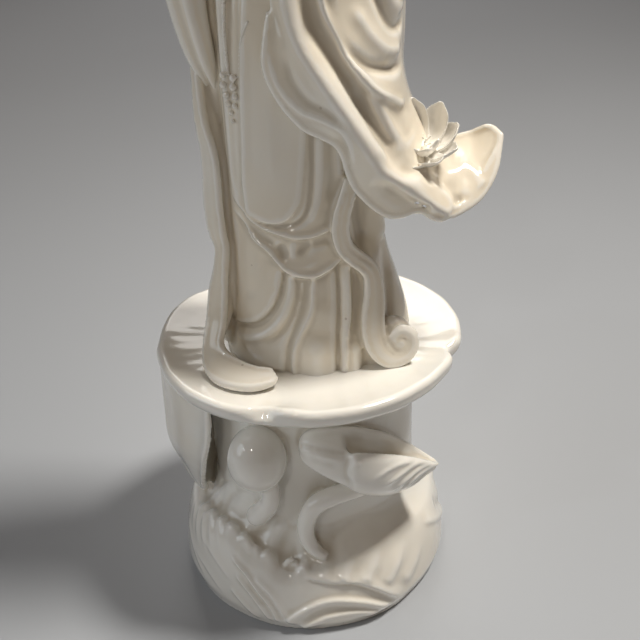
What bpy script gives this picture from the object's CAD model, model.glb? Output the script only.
# A white glazed porcelain guanyin on a lotus leaf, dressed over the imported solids.
import bpy
import math
import numpy as np
from mathutils import Matrix, Vector


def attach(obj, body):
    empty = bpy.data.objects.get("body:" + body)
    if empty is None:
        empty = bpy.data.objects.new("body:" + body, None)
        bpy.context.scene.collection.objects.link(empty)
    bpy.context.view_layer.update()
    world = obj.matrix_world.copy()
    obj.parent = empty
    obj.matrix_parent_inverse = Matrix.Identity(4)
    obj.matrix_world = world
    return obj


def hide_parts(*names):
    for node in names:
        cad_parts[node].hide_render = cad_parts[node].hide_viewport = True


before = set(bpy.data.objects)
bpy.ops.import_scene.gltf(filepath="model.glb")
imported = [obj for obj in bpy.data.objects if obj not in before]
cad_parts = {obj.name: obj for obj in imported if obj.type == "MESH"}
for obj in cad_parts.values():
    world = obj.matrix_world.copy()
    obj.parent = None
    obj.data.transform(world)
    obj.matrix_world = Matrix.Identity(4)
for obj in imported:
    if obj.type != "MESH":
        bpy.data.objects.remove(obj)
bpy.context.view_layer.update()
print("frame loaded")

mm = 0.001
leafHeight = 114.0  # the leaf's rim, in mm above the underside; the figure is drawn from there up
stepsPerSpan = 7  # straight bits between two points of a carved stroke


# small drawing helpers, all in mm

def rise(start, end, x):
    t = np.clip((np.asarray(x, float) - start) / (end - start), 0, 1)
    return t * t * (3 - 2 * t)


def bump(x, width):
    return np.exp(-(np.asarray(x, float) / width) ** 2)


def through(rows):
    # a smooth line through rows of (place, value, ...)
    rows = np.array(rows, float)
    place, values = rows[:, 0], rows[:, 1:]
    last = len(rows) - 1
    before = np.clip(np.arange(last + 1) - 1, 0, last)
    after = np.clip(np.arange(last + 1) + 1, 0, last)
    slope = (values[after] - values[before]) / (place[after] - place[before])[:, None]

    def at(x):
        x = np.clip(np.asarray(x, float), place[0], place[-1])
        i = np.clip(np.searchsorted(place, x) - 1, 0, last - 1)
        span = (place[i + 1] - place[i])[..., None]
        t = (x - place[i])[..., None] / span
        step = t * t * (3 - 2 * t)
        return (values[i] + (values[i + 1] - values[i]) * step
                + t * (1 - t) ** 2 * slope[i] * span + t * t * (t - 1) * slope[i + 1] * span)
    return at


def alongLine(points, count):
    points = np.array(points, float)
    return through(np.column_stack([np.arange(len(points)), points]))(np.linspace(0, len(points) - 1, count))


def carve(strokes, u, v):
    # adds ridges, or grooves where the height is below zero; lean makes one side steeper
    u, v = np.broadcast_arrays(np.asarray(u, float), np.asarray(v, float))
    total = np.zeros(u.shape)
    for mark in strokes:
        line = alongLine(mark["line"], stepsPerSpan * (len(mark["line"]) - 1) + 1)
        reach = mark["width"] * 4
        near = ((u > line[:, 0].min() - reach) & (u < line[:, 0].max() + reach)
                & (v > line[:, 1].min() - reach) & (v < line[:, 1].max() + reach))
        if not near.any():
            continue
        uu, vv = u[near], v[near]
        best = np.full(uu.shape, 1e9)
        side = np.zeros(uu.shape)
        along = np.zeros(uu.shape)
        for k in range(len(line) - 1):
            ax, ay = line[k]
            dx, dy = line[k + 1] - line[k]
            t = np.clip(((uu - ax) * dx + (vv - ay) * dy) / (dx * dx + dy * dy + 1e-9), 0, 1)
            ox, oy = uu - ax - t * dx, vv - ay - t * dy
            distance = np.hypot(ox, oy)
            closer = distance < best
            best = np.where(closer, distance, best)
            side = np.where(closer, np.sign(dx * oy - dy * ox), side)
            along = np.where(closer, (k + t) / (len(line) - 1), along)
        startFade, endFade = mark["fade"]
        ends = np.ones(uu.shape)
        if startFade:
            ends = ends * rise(0, startFade, along)
        if endFade:
            ends = ends * rise(1, 1 - endFade, along)
        width = mark["width"] * (1 + mark["lean"] * side)
        total[near] += mark["height"] * ends * bump(best, width)
    return total


def stroke(line, height, width, lean=0, fade=(0.15, 0.15)):
    return {"line": line, "height": height, "width": width, "lean": lean, "fade": fade}


def circle(columns, start=0.0):
    return np.linspace(start, start + 2 * np.pi, columns, endpoint=False)[None]


def circleDegrees(columns):
    return np.linspace(-180, 180, columns, endpoint=False)


class Clay:
    # gathers closed forms, to be fused into one glazed skin
    def __init__(self):
        self.points, self.quads, self.triangles, self.count = [], [], [], 0

    def loft(self, grid):
        # quads between closed rings, with a fan of triangles at each end
        rings, columns = grid.shape[:2]
        first = self.count
        self.points += [grid.reshape(-1, 3), grid[0].mean(0)[None], grid[-1].mean(0)[None]]
        low, high = first + rings * columns, first + rings * columns + 1
        i = np.arange(columns)
        j = (i + 1) % columns
        row = np.arange(rings - 1)[:, None] * columns
        a, b = row + i, row + j
        self.quads.append(np.stack([a, b, b + columns, a + columns], -1).reshape(-1, 4) + first)
        self.triangles.append(np.stack([first + j, first + i, np.full(columns, low)], -1))
        top = first + (rings - 1) * columns
        self.triangles.append(np.stack([top + i, top + j, np.full(columns, high)], -1))
        self.count += rings * columns + 2

    def sheet(self, face, back):
        # a sheet with a front and a back, both (rows, columns, 3)
        self.loft(np.concatenate([face, back[:, ::-1]], 1))

    def tube(self, points, radii, sides=20, steps=None, flat=None, face=(0, -1, 0)):
        # round, or flattened where flat gives the half thickness; the face looks one way or one per point
        steps = steps or 10 * len(points)
        line = alongLine(points, steps)
        wide = alongLine(np.array(radii, float).reshape(-1, 1), steps)[:, 0]
        deep = wide if flat is None else alongLine(np.array(flat, float).reshape(-1, 1), steps)[:, 0]
        looks = np.array(face, float)
        looks = np.tile(looks, (steps, 1)) if looks.ndim == 1 else alongLine(looks, steps)
        ahead = np.gradient(line, axis=0)
        ahead /= np.linalg.norm(ahead, axis=1)[:, None] + 1e-9
        looks = looks - ahead * (looks * ahead).sum(1)[:, None]
        looks /= np.linalg.norm(looks, axis=1)[:, None] + 1e-9
        side = np.cross(ahead, looks)
        turn = circle(sides)
        self.loft(line[:, None] + side[:, None] * (wide[:, None] * np.cos(turn))[..., None]
                  + looks[:, None] * (deep[:, None] * np.sin(turn))[..., None])

    def ball(self, centre, radii, rings=18, columns=24, reshape=None):
        up = np.linspace(-np.pi / 2, np.pi / 2, rings)[:, None]
        turn = circle(columns)
        unit = np.stack([np.cos(up) * np.cos(turn), np.cos(up) * np.sin(turn), np.sin(up) + 0 * turn], -1)
        grid = unit * np.array(np.broadcast_to(radii, 3), float)
        if reshape is not None:
            grid = reshape(grid)
        self.loft(grid + np.array(centre, float))

    def skin(self, name, values):
        # the forms become one closed skin, softened as glaze softens an edge, and thinned where it is plain
        mesh = bpy.data.meshes.new(name)
        points = np.concatenate(self.points) * mm
        faces = [q.tolist() for q in np.concatenate(self.quads)]
        faces += [t.tolist() for t in np.concatenate(self.triangles)]
        mesh.from_pydata(points.tolist(), [], faces)
        mesh.update()
        piece = bpy.data.objects.new(name, mesh)
        bpy.context.scene.collection.objects.link(piece)
        remesh = piece.modifiers.new("fuse", "REMESH")
        remesh.mode = "VOXEL"
        remesh.voxel_size = values["voxel"] * mm
        smooth = piece.modifiers.new("glaze", "SMOOTH")
        smooth.factor = 0.5
        smooth.iterations = values["soften"]
        self.settle(piece)
        markHollows(piece.data)
        thin = piece.modifiers.new("thin", "DECIMATE")
        thin.ratio = min(1.0, values["triangles"] / (2 * len(piece.data.polygons)))
        self.settle(piece)
        piece.data.name = name
        piece.data.shade_smooth()
        print(name, "has", sum(len(face.vertices) - 2 for face in piece.data.polygons), "triangles")
        return piece

    def settle(self, piece):
        # the modifiers' result becomes the piece's own mesh
        before = piece.data
        graph = bpy.context.evaluated_depsgraph_get()
        piece.data = bpy.data.meshes.new_from_object(piece.evaluated_get(graph))
        piece.modifiers.clear()
        bpy.data.meshes.remove(before)


# for each attribute: rounds of smoothing, and the depth in mm that counts as fully hollow
hollowScales = [("fineHollow", 5, 0.10), ("broadHollow", 26, 0.55)]


def markHollows(mesh):
    # glaze runs off edges and pools in hollows, so each point learns which it is
    count = len(mesh.vertices)
    points, normals = np.empty((count, 3)), np.empty((count, 3))
    mesh.vertices.foreach_get("co", points.ravel())
    mesh.vertices.foreach_get("normal", normals.ravel())
    edges = np.empty(len(mesh.edges) * 2, int)
    mesh.edges.foreach_get("vertices", edges)
    a, b = edges.reshape(-1, 2).T
    number = np.maximum(np.bincount(a, minlength=count) + np.bincount(b, minlength=count), 1)
    smoothed = points.copy()
    for name, rounds, scale in hollowScales:
        for _ in range(rounds):
            smoothed = np.stack([
                (np.bincount(a, smoothed[b, k], count) + np.bincount(b, smoothed[a, k], count)) / number
                for k in range(3)], 1)
        depth = ((smoothed - points) * normals).sum(1) / (scale * mm)
        layer = mesh.attributes.new(name, "FLOAT", "POINT")
        layer.data.foreach_set("value", np.clip(depth, -1, 1).astype(np.float32))


def around(angle, radius, z):
    turn = np.radians(angle)
    return np.stack(np.broadcast_arrays(radius * np.cos(turn), radius * np.sin(turn), z + 0 * turn), -1)


def figurePoint(x, y, z):
    x, y, z = np.broadcast_arrays(x, y, z)
    return np.stack([x, y, z + leafHeight], -1)


def lift(points):
    # drawn places of the figure, from the leaf's rim up
    return [(x, y, z + leafHeight) for x, y, z in points]


def build(name, values, *makers):
    clay = Clay()
    for maker in makers:
        maker(clay)
    piece = clay.skin(name, values)
    print(name, "built")
    return piece


# the stand: waves, drum and water plants

stand = {
    "drumRadius": 44.5,
    "foamFall": 2.4,
    "shoulderCut": 0.2,
    "ridgeHeight": 1.0,
    "lobeDepth": 0.6,
    "belly": 1.8,
    "climb": 20,
    "coreRadius": 30.0,
    "curl": (-101.6, 29.5),
    "curlRadius": 3.9,
    "leafThickness": 3.2,
    "leafTip": 41,
    "budPlace": (-115, 52, 82.4),
    "budRadii": (11.4, 10.8, 14.4),
    "voxel": 0.68,
    "soften": 3,
    "triangles": 190000,
}

# angle, foot radius, crest radius, crest height and the depth of the trough behind it; -90 is the front
crestLine = through([
    (-180, 61, 53, 34, 5), (-166, 61, 53, 37, 3), (-158, 61, 53, 37.8, 1.6), (-148, 61, 52.8, 39, 1.3),
    (-136, 61, 52.4, 40, 1.3), (-126, 60.5, 52.4, 38, 1.3), (-120, 60.5, 52.6, 34.2, 1.3),
    (-112, 60.5, 52.8, 33.2, 1.3), (-107, 60.5, 53, 30, 1.3), (-102, 60.4, 53, 28.6, 1.0),
    (-98, 60.3, 52.6, 30, 0.2), (-92, 60, 51.5, 30, 0), (-84, 59.7, 50.5, 31, 0),
    (-72, 59.4, 49.5, 33.5, 0), (-58, 59, 48.6, 35.5, 0), (-45, 57.8, 47.8, 36.5, 0),
    (-20, 57.4, 47.5, 35.5, 0), (0, 57.8, 47.5, 34, 0), (45, 59.5, 48.5, 31, 3), (90, 60.5, 51, 32, 5),
    (135, 61, 51, 29, 5), (180, 61, 53, 34, 5)])

# the foam along the crest at the left: middle angle, half width and top of each lobe
foamLobes = [(-154.6, 4.2, 39.6), (-147, 4.8, 41.0), (-139.8, 3.8, 41.7), (-133.0, 4.3, 42.1),
             (-125.4, 4.6, 40.0), (-119.0, 3.0, 36.6), (-113.4, 3.8, 35.5), (-96.4, 3.0, 31.4)]

waveStrokes = [
    # thin ridges that sweep down at the left and meet near the front
    stroke([(-130, 31), (-126.3, 28.8), (-121.4, 25.6), (-116.9, 21.1), (-111.5, 15), (-108.5, 9.3),
            (-107, 3.6)], 1.15, 0.85, 0.3, (0.25, 0.1)),
    stroke([(-117.4, 25), (-115.2, 23.6), (-110.1, 19.2), (-106.1, 12.1), (-103.6, 6.2)], 0.75, 1.2, 0.5,
           (0.25, 0.15)),
    stroke([(-126.6, 23), (-123.7, 20.9), (-118, 15.7), (-113.2, 9.5), (-109.6, 3.7)], 0.95, 0.8, 0.3,
           (0.25, 0.12)),
    stroke([(-129, 14.6), (-125.9, 12.3), (-119.9, 7.2), (-115, 2.6)], 0.8, 0.85, 0.3, (0.25, 0.15)),
    stroke([(-121.6, 21.6), (-116.4, 16.4), (-111.8, 10.4)], -0.5, 1.2, 0, (0.25, 0.25)),
    stroke([(-150, 30), (-141, 26.6), (-133, 22), (-127, 17)], 0.45, 1.3, 0.3, (0.3, 0.3)),
    stroke([(-156, 20), (-146, 17), (-137, 12.6), (-130, 8)], 0.5, 1.5, 0.3, (0.3, 0.3)),
    stroke([(-170, 26), (-161, 22), (-151, 15), (-143, 8)], 0.5, 1.8, 0.3, (0.3, 0.3)),
    # the shoulder that ends the lit slope at the right, and the two layered arcs under it
    stroke([(-98, 27), (-92.8, 27), (-84.9, 25), (-75.6, 23.6), (-69.9, 20.2), (-65, 16), (-58.6, 9.4),
            (-53, 4.6)], 1.5, 2.0, 0.6, (0.15, 0.2)),
    stroke([(-104, 5), (-101.2, 9), (-94.7, 14.4), (-87, 17), (-79.3, 16.2), (-71.3, 12.8), (-64, 7.6),
            (-58.4, 3.6)], 1.7, 1.8, -0.6, (0.08, 0.2)),
    stroke([(-99, 2.4), (-95.1, 4.9), (-87.4, 8.8), (-77.1, 9), (-69.6, 6.2), (-64, 2.8)], 1.3, 1.7, -0.55,
           (0.12, 0.2)),
    # soft flutes that lean up the slope at the right, rounded off at the shoulder
    stroke([(-88.4, 26.6), (-86.4, 30), (-83, 34)], 0.9, 2.6, 0.1, (0.15, 0.6)),
    stroke([(-80.4, 24.6), (-77, 30), (-72.6, 36)], 1.2, 2.8, 0.1, (0.15, 0.6)),
    stroke([(-71.6, 22), (-66, 29), (-60, 36)], 1.25, 3.0, 0.1, (0.15, 0.6)),
    stroke([(-62.6, 17), (-55, 24), (-47.5, 31)], 1.25, 3.4, 0.1, (0.15, 0.6)),
    stroke([(-53.6, 11), (-44, 18), (-36, 26)], 1.1, 3.6, 0.1, (0.2, 0.6)),
    # plainer swells round the right and the back
    *[stroke([(a, 31), (a + 14, 22), (a + 30, 12), (a + 46, 4)], 1.0, 2.4, 0.35)
      for a in (-34, 2, 36, 70, 104)],
    *[stroke([(a, 28), (a + 12, 18), (a + 28, 8)], -0.8, 2.4) for a in (-16, 20, 52, 86, 120)],
]


def buildWaves(clay):
    columns, rows, innerRows = 900, 130, 70
    angle = circleDegrees(columns)
    foot, crest, height, trough = crestLine(angle).T
    # the foam is scalloped at the left; at the right the drum runs smoothly out into the slope
    foamy = rise(-88, -98, angle) * rise(-170, -156, angle)
    smooth = rise(-104, -80, angle) * rise(70, 30, angle)
    tops = [top - stand["foamFall"] * np.abs((angle - middle) / half) ** 2 for middle, half, top in foamLobes]
    foam = np.maximum(np.max(tops, axis=0), height) - height
    share = np.linspace(0, 1, rows)[:, None]
    atCrest = rise(0.74, 1, share)
    turn = share * np.pi / 2 * (1 - stand["shoulderCut"] * smooth)
    z = height * np.sin(turn) ** 1.08 + foam * atCrest ** 1.6
    belly = stand["belly"] * rise(0, 0.16, share)
    radius = crest + (foot + belly - crest) * np.cos(turn) ** 0.82 + 0.3 * foam * atCrest
    radius = radius + stand["ridgeHeight"] * carve(waveStrokes, angle[None, :], z) * rise(0, 1.2, z)
    # fine flutes under the crest at the left, and an uneven surface all over
    flute = np.sin(np.radians(angle * 58 + 1.2 * z * 20)) * bump(angle + 150, 12)
    radius = radius + 0.36 * flute * rise(22, 33, z)
    wobble = 40 * np.sin(np.radians(angle * 2))
    radius = radius + 0.3 * np.sin(np.radians(angle * 9 + wobble)) * rise(4, 20, z)
    outer = around(angle[None, :], radius, z)
    # behind the crest the surface sweeps up the drum, at the left in soft slanting lobes behind a thin lip
    drum = stand["drumRadius"]
    inside = np.linspace(0, 1, innerRows)[1:, None]
    startR, startZ = radius[-1] - 0.3 * foam, z[-1] - foam
    climb = stand["climb"] - 5 * smooth
    bend = startZ + 0.3 * climb + 1.5 * smooth
    r = startR * (1 - inside) ** 2 + 2 * (drum + 0.9) * inside * (1 - inside) + (drum - 0.6) * inside ** 2
    zIn = startZ * (1 - inside) ** 2 + 2 * bend * inside * (1 - inside) + (startZ + climb) * inside ** 2
    zIn = zIn - trough * np.sin(np.pi * np.clip(inside * 1.5, 0, 1)) ** 0.8
    slant = angle - 0.8 * (zIn - 38)
    lobes = np.cos(np.radians(slant * 25.7 + 40)) * (0.7 + 0.3 * np.cos(np.radians(slant * 9)))
    r = r + stand["lobeDepth"] * lobes * np.sin(np.pi * inside) ** 0.7 * rise(0.03, 0.3, inside) * foamy
    # the foam stands over it as a rounded lip
    lip = foam * bump(inside, 0.10)
    r = r + 0.3 * lip
    inner = around(angle[None, :], r, zIn + lip)
    core = around(angle, np.full(columns, stand["coreRadius"]), startZ + climb)
    clay.loft(np.concatenate([outer, inner, core[None]]))
    # a small curl of foam lies where the two sides meet
    place, height = stand["curl"]
    clay.ball(around(place, 52.4, height - 0.1), (2.4, 1.6, 2.2), 30, 36)
    curl = []
    for i, a in enumerate(np.radians(np.linspace(70, 400, 12))):
        across, up = stand["curlRadius"] - 0.175 * i, stand["curlRadius"] - 0.3 - 0.15 * i
        curl.append(around(place + across * math.cos(a), 53.4, height + 0.1 + up * math.sin(a)))
    clay.tube(curl, [0.5] + [1.05] * 9 + [0.9, 0.5], 16, 90)


def buildDrum(clay):
    angle = circleDegrees(300)
    z = np.linspace(3, leafHeight - 4, 90)[:, None]
    uneven = 0.25 * np.sin(np.radians(angle * 3) + z / 17) + 0.16 * np.sin(np.radians(angle * 7) - z / 9)
    flare = 3.2 * rise(leafHeight - 17, leafHeight - 6, z) ** 2
    clay.loft(around(angle[None, :], stand["drumRadius"] + uneven + flare, z))


def buildDroopingLeaf(clay):
    # share of the way down: the angles of its two edges, the radius of its outer rim and of its near edge
    outline = through([
        (0, -138, -197, 62.8, 50.6), (0.2, -139, -195, 63.0, 51), (0.4, -141, -192, 63.4, 51.6),
        (0.56, -145, -189, 63.7, 52.4), (0.68, -149, -187, 62.6, 52), (0.80, -154, -184, 60, 52),
        (0.91, -159, -178, 57.4, 52), (1, -163, -170, 54, 52)])
    rows, columns = 140, 120
    down = np.linspace(0, 1, rows)[:, None]
    near, far, rim, nearR = outline(down[:, 0]).T[..., None]
    s = np.linspace(0, 1, columns)[None, :]
    z = (leafHeight - 5) + (stand["leafTip"] - leafHeight + 5) * down
    angle = near + (far - near) * s
    # hollow towards the front, from the near edge at the drum out to the rim, then round to the back
    out = nearR + (rim - nearR) * rise(-0.35, 0.62, s) ** 1.3
    out = out - (rim - stand["drumRadius"] + 2) * rise(0.60, 1, s)
    rib = 0.3 * np.cos(s * np.pi * 6 + 1.8 * down) * rise(0.05, 0.3, down) * rise(0, 0.12, s)
    out = out + rib + 0.9 * bump(s - 0.02, 0.035) + 0.6 * bump(s - 0.60, 0.04)
    thick = stand["leafThickness"] - 1.2 * rise(0.2, 0, s)
    clay.sheet(around(angle, out, z), around(angle, out - thick, z + 0 * s))


# the furled leaf, by angle: the heights of the back wall's top, the mouth's floor, the lip and the
# underside, then the radii of the back wall, the mouth, the lip and the belly
furledLeaf = through([
    (-96.4, 89.8, 89.4, 88.9, 87.0, 47.5, 48.0, 48.4, 48.4),
    (-95.6, 91.6, 91.0, 89.8, 84.8, 48.0, 49.0, 50.2, 50.6),
    (-93.6, 93.8, 92.6, 90.4, 82.6, 48.4, 50.0, 51.9, 52.6),
    (-90.0, 95.6, 93.6, 90.8, 80.4, 48.6, 51.0, 53.6, 54.8),
    (-85.0, 96.2, 93.0, 90.0, 77.2, 48.6, 51.8, 54.8, 56.4),
    (-79.6, 96.0, 91.6, 88.6, 73.4, 48.6, 52.2, 55.6, 57.2),
    (-76.4, 95.6, 90.0, 88.2, 71.0, 48.6, 52.4, 56.2, 57.6),
    (-74.6, 95.2, 87.0, 89.2, 69.8, 48.6, 52.6, 58.0, 60.0),
    (-70.0, 94.0, 84.6, 88.8, 66.8, 48.6, 52.8, 58.6, 61.0),
    (-60.5, 90.2, 80.4, 84.8, 62.6, 48.8, 52.8, 59.0, 61.4),
    (-50.0, 84.4, 75.2, 78.8, 60.2, 49.8, 53.4, 59.4, 61.0),
    (-40.0, 76.2, 69.4, 71.4, 60.0, 52.0, 55.0, 60.2, 60.8),
    (-34.0, 69.8, 66.0, 66.4, 60.8, 55.2, 57.0, 60.8, 60.8),
    (-30.6, 65.2, 64.2, 63.8, 62.4, 58.6, 59.6, 61.0, 60.8)])

furledRibs = [
    stroke([(-31, 64), (-39, 67.4), (-47.7, 68.2), (-56.4, 63.6)], 0.9, 0.75, 0.2, (0.1, 0.2)),
    stroke([(-33, 66), (-43, 70.6), (-51.6, 70.8), (-60.6, 66.4)], 0.9, 0.75, 0.2, (0.1, 0.2)),
    stroke([(-38, 70), (-47, 74.6), (-56, 74.8), (-65, 71.2)], 0.9, 0.8, 0.2, (0.1, 0.25)),
    stroke([(-47, 76), (-56, 79.4), (-63, 79.4), (-69, 76)], 0.7, 0.9, 0.2, (0.2, 0.3)),
    stroke([(-34, 63.6), (-42, 65), (-51, 62.4)], 0.8, 0.7, 0.2, (0.1, 0.2)),
    stroke([(-72.8, 88), (-75.6, 84.6), (-76.4, 80.6), (-74.6, 75)], 1.0, 1.0, 0.3, (0.1, 0.3)),
    stroke([(-95, 88), (-88, 86.4), (-80, 84)], -0.5, 1.6, 0, (0.3, 0.2)),
]


def buildFurledLeaf(clay):
    stations = 420
    place = np.linspace(-96.4, -30.6, stations)
    top, mouth, lip, under, backR, mouthR, lipR, bellyR = furledLeaf(place).T
    wall = np.full(stations, stand["drumRadius"] - 1.5)
    middle = 0.45 * lip + 0.55 * under
    # a closed section, from inside the drum over the back wall, the mouth and the lip, and back under
    section = np.array([
        (wall, top - 2.0), (backR - 1.6, top - 0.2), (backR, top - 0.2), (backR + 1.0, 0.5 * (top + mouth)),
        (mouthR, mouth), (0.5 * (mouthR + lipR), 0.6 * mouth + 0.4 * lip), (lipR - 1.1, lip - 0.2),
        (lipR, lip - 0.3), (0.4 * lipR + 0.6 * bellyR + 0.4, 0.72 * lip + 0.28 * middle), (bellyR, middle),
        (0.75 * bellyR + 13.2, 0.72 * under + 0.28 * middle), (0.5 * bellyR + 25.0, under),
        (wall + 3, under + 0.6), (wall, under + 3)]).transpose(2, 0, 1)
    rings = [alongLine(points, 150) for points in section]
    grid = np.array([around(turn, ring[:, 0], ring[:, 1]) for turn, ring in zip(place, rings)])
    angle = np.degrees(np.arctan2(grid[..., 1], grid[..., 0]))
    radius = np.hypot(grid[..., 0], grid[..., 1])
    outside = rise(53, 55.5, radius) * (grid[..., 2] < lip[:, None] - 0.5)
    radius = radius + carve(furledRibs, angle, grid[..., 2]) * outside
    # soft ribs inside the mouth
    inside = rise(top[:, None], top[:, None] - 4, grid[..., 2]) * (radius < mouthR[:, None] + 0.5)
    radius = radius + 0.35 * np.sin(np.radians(angle * 22)) * inside * rise(-88, -76, angle)
    clay.loft(around(angle, radius, grid[..., 2]))


def buildPlants(clay):
    # the bud, a closed egg of overlapping petals
    def overlap(unit):
        x, y, z = unit[..., 0], unit[..., 1], unit[..., 2]
        turn = np.arctan2(y, x)
        high = z / stand["budRadii"][2]
        crease = 0.30 * np.abs(np.sin(turn * 1.5 + 1.1 * high + 0.5)) ** 0.7 * rise(-0.9, -0.2, high)
        grow = 1 + (crease - 0.2) / 11 + 0.03 * (1 - high) * (1 - high ** 2)
        return np.stack([x * grow, y * grow, z], -1)
    clay.ball(around(*stand["budPlace"]), stand["budRadii"], 70, 90, overlap)
    budStem = [(-111.6, 51, 71), (-110.9, 50.4, 65), (-111.4, 50.2, 60.5), (-113.2, 50.2, 57),
               (-116, 50, 53.6), (-119, 49.8, 50.6), (-121.6, 49, 48.4)]
    clay.tube([around(*place) for place in budStem], [4.3, 4.0, 4.1, 4.3, 4.5, 4.6, 4.0], 26, 90)
    stem = [(-66, 50, 65), (-75, 49.8, 64.6), (-83, 49.8, 63.4), (-89.8, 49.8, 60), (-94, 49.8, 53.4),
            (-95.2, 49.8, 45.8), (-93.6, 50, 39.4), (-90, 50.4, 35), (-86.4, 50.6, 32.6)]
    clay.tube([around(*place) for place in stem], [3.6, 3.9, 4.0, 4.0, 3.8, 3.6, 3.2, 2.7, 2.0], 26, 140)


standPiece = build("stand", stand, buildWaves, buildDrum, buildDroopingLeaf, buildFurledLeaf, buildPlants)


# the lotus leaf on the drum

leaf = {
    "radius": 64.2,
    "lobeDepth": 0.008,
    "raised": 0.35,
    "veins": 0.09,
    "voxel": 0.75,
    "soften": 3,
    "triangles": 95000,
}

# angle, depth as a share of the radius, width in degrees and how far down the edge it reaches
leafNotches = [(-106, 0.070, 6.0, 0.35), (-20, 0.050, 4, 1), (178, 0.012, 9, 1), (138, 0.02, 8, 1),
               (62, 0.045, 6, 1), (100, 0.035, 7, 1)]

# share of the rim's radius, drop from the rim, and how far the section follows the lobes
leafSection = through([
    (0, 0.2, -2.7, 0), (1, 0.5, -2.7, 0), (2, 0.7, -2.4, 0.05), (3, 0.82, -1.8, 0.3), (4, 0.9, -0.9, 0.7),
    (5, 0.945, -0.2, 1), (6, 0.972, 0.15, 1), (7, 0.990, -0.5, 1), (8, 1.0, -1.9, 1), (9, 0.999, -3.4, 1),
    (10, 0.994, -4.6, 1), (11, 0.985, -5.8, 0.95), (12, 0.965, -7.2, 0.9), (13, 0.93, -8.1, 0.8),
    (14, 0.84, -9.2, 0.4), (15, 0.74, -10.6, 0.1), (16, 0.66, -12.6, 0), (17, 0.5, -13, 0)])


def buildLeaf(clay):
    angle = circleDegrees(620)
    rowPlace = np.linspace(0, 17, 150)[:, None]
    share, drop, follows = leafSection(rowPlace[:, 0]).T[..., None]
    low = rise(7, 11, rowPlace)
    radius = 1 + leaf["lobeDepth"] * np.sin(np.radians(angle * 5 + 40))
    radius = radius + 0.0015 * np.sin(np.radians(angle * 23))
    raised = leaf["raised"] * np.sin(np.radians(angle * 4 - 30))
    for place, depth, width, reach in leafNotches:
        turn = (angle - place + 540) % 360 - 180
        fades = 1 - (1 - reach) * low
        radius = radius - depth * bump(turn, width) * fades
        swell = 0.7 * bump(turn - width * 1.6, width) - 0.9 * bump(turn, width)
        raised = raised + swell * fades * (20 * depth)
    # faint veins run out to the rim on the upper face, and a groove follows the edge at the right
    upper = (rowPlace < 5.6) * rise(0.62, 0.8, share) * rise(0.97, 0.9, share)
    vein = leaf["veins"] * upper * np.cos(np.radians(angle * 16)) ** 3
    groove = -0.5 * bump(rowPlace - 8.8, 0.7) * bump(angle + 48, 26)
    out = leaf["radius"] * share * (1 + (radius - 1) * follows) + groove
    clay.loft(around(angle[None, :], out, leafHeight + drop + raised * follows + vein))


leafPiece = build("lotusLeaf", leaf, buildLeaf)


# the robe, with its layers, pleats and ribbons

robe = {
    "squareness": 0.92,
    "overskirt": 1.7,
    "sash": 1.3,
    "bib": 1.5,
    "pleats": 1.0,
    "ribbonThickness": 1.9,
    "selvage": 0.95,
    "backing": 3.8,
    "scrollHeart": (35.8, -27.6, 6.4),
    "bendFill": (-31.2, -11.4, 9),
    "voxel": 0.7,
    "soften": 3,
    "triangles": 190000,
}

# height, middle x, half width, front depth and back depth
robeSection = through([
    (-5, 4, 38.5, 32.5, 30), (8, 4.5, 37.5, 30.5, 29), (24, 3, 34.5, 28, 27), (40, 1, 32, 26, 26),
    (60, 0, 31.5, 24, 25.5), (90, 0, 32.5, 24, 25), (115, -1, 34, 24, 25), (140, -1, 34, 24, 24.5),
    (160, 0, 32, 23, 23), (180, 0, 34, 22.5, 22), (196, 0, 34, 19, 20), (205, 0, 29, 15, 18),
    (212, 0, 17, 12, 15), (218, 0, 9.5, 9, 11), (230, 0, 8, 8, 9)])

# the lower edges of the overskirt and of the sash above it, as height against x
overskirtEdge = through([(-40, 74), (-30, 66), (-21.3, 57.6), (-17, 50.4), (-12.4, 46.4), (-9.4, 42.2),
                         (-6.1, 38.6), (-0.3, 36.4), (5.7, 36.6), (10.2, 39), (13.6, 42), (20, 48),
                         (38, 62)])
sashEdge = through([(-40, 80), (-30, 72), (-19.7, 62.4), (-17.4, 59), (-13.2, 56), (-8.1, 54), (-3.2, 52.4),
                    (1, 52.2), (5.2, 52.9), (8.7, 54.4), (14, 58), (30, 72)])
bibLeft = through([(40, -18.4), (66, -18.6), (75, -18.8), (89, -17.9), (103, -17.3), (117, -16.3),
                   (140, -14)])
bibRight = through([(40, -0.4), (62, -1.8), (67, 0.4), (75, 1.7), (89, 3.2), (105, 4.4), (140, 6)])

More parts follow.
